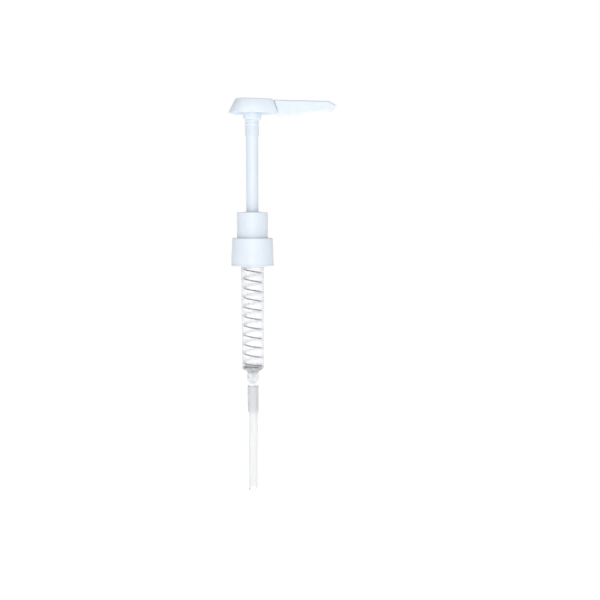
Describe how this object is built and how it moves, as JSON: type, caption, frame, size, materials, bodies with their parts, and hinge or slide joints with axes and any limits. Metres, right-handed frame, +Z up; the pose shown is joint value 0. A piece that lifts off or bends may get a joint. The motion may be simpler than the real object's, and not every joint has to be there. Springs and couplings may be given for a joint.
{
  "type": "condiment pump dispenser",
  "caption": "Hand pump for a one-gallon condiment jug: press head with long spout, lock-down collar, screw closure, clear spring-return barrel with ball valves, and dip tube.",
  "frame": {"origin": "on the pump's axis, in the plane of the jug's rim, where the gasket seals", "axes": "+Z up along the pump's axis, +X towards the spout's outlet, +Y to the left of the spout; the pump is fully extended at rest"},
  "size_m": [0.108, 0.0434, 0.3976],
  "materials": {
    "head_white": "moulded white polypropylene, satin gloss",
    "stem_white": "moulded white polypropylene, satin gloss",
    "collar_white": "moulded white polypropylene, satin gloss",
    "closure_white": "moulded white polypropylene, smooth skirt",
    "clear_barrel": "clear natural polypropylene",
    "clear_insert": "clear natural polypropylene",
    "milky_tube": "natural polyethylene tube, translucent",
    "milky_insert": "natural polypropylene, milky",
    "seal_white": "soft low-density polyethylene",
    "gasket_foam": "foamed polyethylene",
    "spring_steel": "drawn stainless spring wire",
    "ball_glass": "polished glass valve ball"
  },
  "bodies": {
    "housing": {"barrel": "clear_barrel", "ball_cage": "clear_insert", "dip_tube": "milky_tube", "spring": "spring_steel", "collar": "collar_white", "stem_bush": "milky_insert", "stem_wiper": "seal_white", "gasket": "gasket_foam"},
    "piston": {"piston_core": "milky_insert", "piston_cup": "seal_white", "ball_stop": "milky_insert"},
    "head": {"stem": "stem_white", "spout_body": "head_white", "head_cover": "head_white", "channel_plug": "head_white"},
    "closure": {"closure": "closure_white"},
    "inlet_ball": {"inlet_ball": "ball_glass"},
    "outlet_ball": {"outlet_ball": "ball_glass"}
  },
  "joints": [
    {"name": "head_press", "type": "slide", "parent": "housing", "child": "piston", "axis": [0, 0, 1], "range_m": [-0.091, 0], "stiffness_N_per_m": 210, "springref_m": 0.03, "deforming": ["spring"]},
    {"name": "head_swivel", "type": "hinge", "parent": "piston", "child": "head", "pos_m": [0, 0, 0], "axis": [0, 0, 1], "continuous": true},
    {"name": "closure_turn", "type": "hinge", "parent": "housing", "child": "closure", "pos_m": [0, 0, 0], "axis": [0, 0, 1], "continuous": true},
    {"name": "inlet_ball_lift", "type": "slide", "parent": "housing", "child": "inlet_ball", "axis": [0, 0, 1], "range_m": [0, 0.0025]},
    {"name": "outlet_ball_lift", "type": "slide", "parent": "piston", "child": "outlet_ball", "axis": [0, 0, 1], "range_m": [0, 0.0025]}
  ]
}
